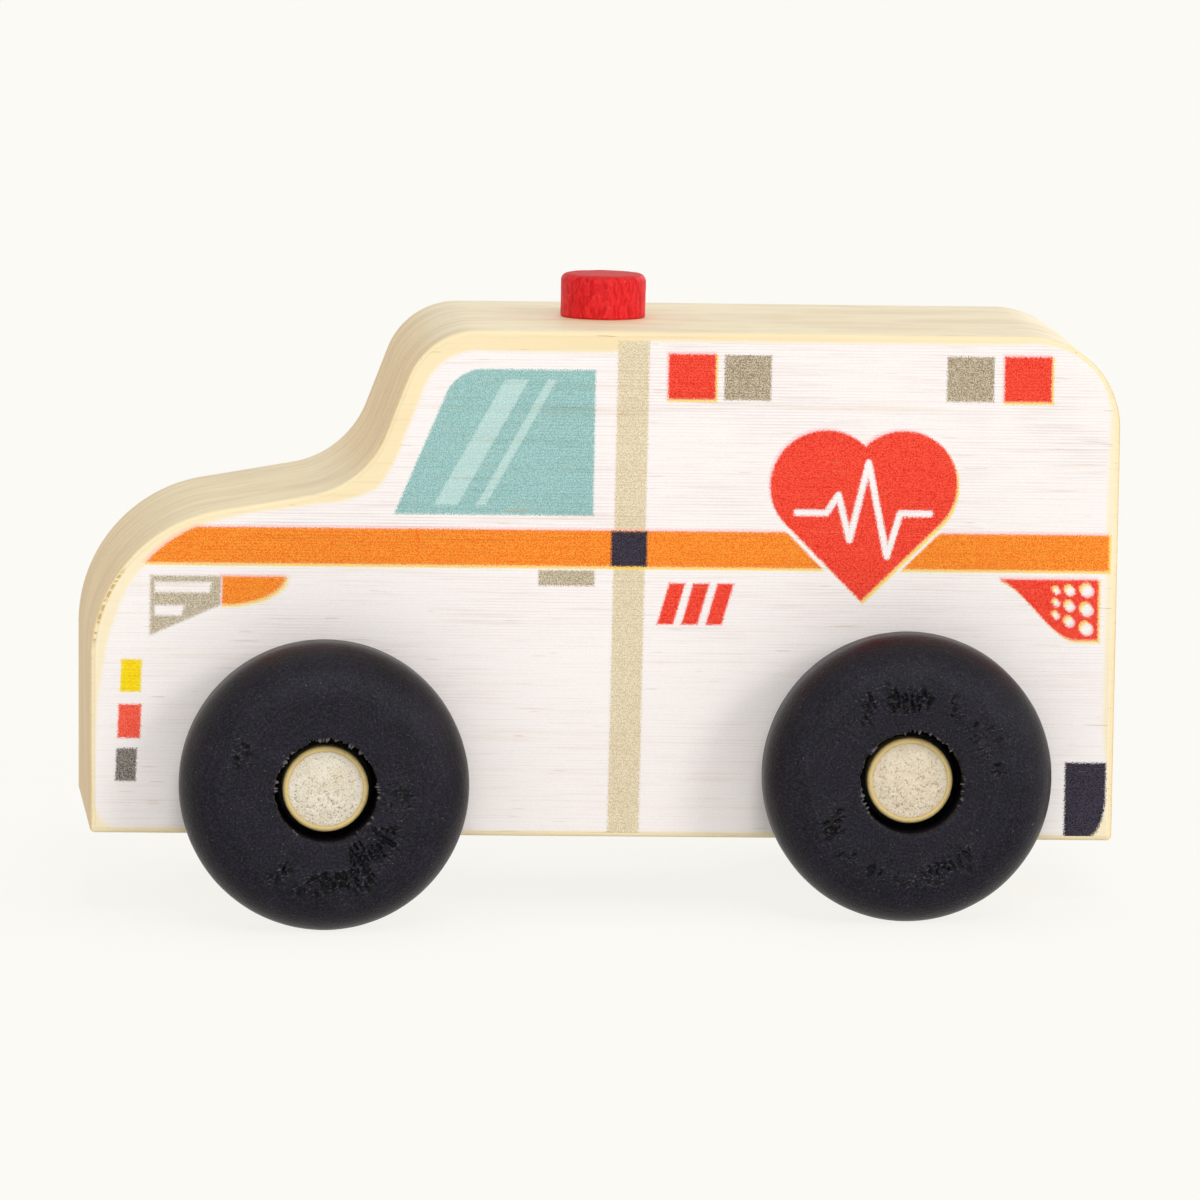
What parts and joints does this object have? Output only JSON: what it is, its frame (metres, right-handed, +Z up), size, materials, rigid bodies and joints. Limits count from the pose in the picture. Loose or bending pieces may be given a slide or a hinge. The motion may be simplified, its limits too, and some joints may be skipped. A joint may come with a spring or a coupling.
{
  "type": "toy ambulance",
  "caption": "Wooden push-along ambulance: a sawn block with printed sides on wheels that turn on glued pegs, and a turned red beacon on the roof.",
  "frame": {"origin": "on the floor under the toy, midway between nose and tail and midway between the sides", "axes": "+X from the nose to the tail, +Y from the toy's left side to its right, +Z up from the floor"},
  "size_m": [0.1148, 0.065, 0.0701],
  "materials": {
    "bare_wood": "sanded pale hardwood, ink printed on both sides",
    "peg_wood": "bare, sanded end grain",
    "black_stained_wood": "matte black stain",
    "red_stained_wood": "matte red stain"
  },
  "bodies": {
    "toy_body": {"body_block": "bare_wood", "front_left_axle_peg": "peg_wood", "front_right_axle_peg": "peg_wood", "rear_left_axle_peg": "peg_wood", "rear_right_axle_peg": "peg_wood", "beacon": "red_stained_wood"},
    "front_left_wheel": {"front_left_wheel": "black_stained_wood"},
    "front_right_wheel": {"front_right_wheel": "black_stained_wood"},
    "rear_left_wheel": {"rear_left_wheel": "black_stained_wood"},
    "rear_right_wheel": {"rear_right_wheel": "black_stained_wood"}
  },
  "joints": [
    {"name": "front_left_wheel_spin", "type": "hinge", "parent": "toy_body", "child": "front_left_wheel", "pos_m": [-0.03179, -0.026, 0.016], "axis": [0, 1, 0], "continuous": true},
    {"name": "front_right_wheel_spin", "type": "hinge", "parent": "toy_body", "child": "front_right_wheel", "pos_m": [-0.03179, 0.026, 0.016], "axis": [0, 1, 0], "continuous": true},
    {"name": "rear_left_wheel_spin", "type": "hinge", "parent": "toy_body", "child": "rear_left_wheel", "pos_m": [0.03272, -0.026, 0.016], "axis": [0, 1, 0], "continuous": true},
    {"name": "rear_right_wheel_spin", "type": "hinge", "parent": "toy_body", "child": "rear_right_wheel", "pos_m": [0.03272, 0.026, 0.016], "axis": [0, 1, 0], "continuous": true}
  ]
}
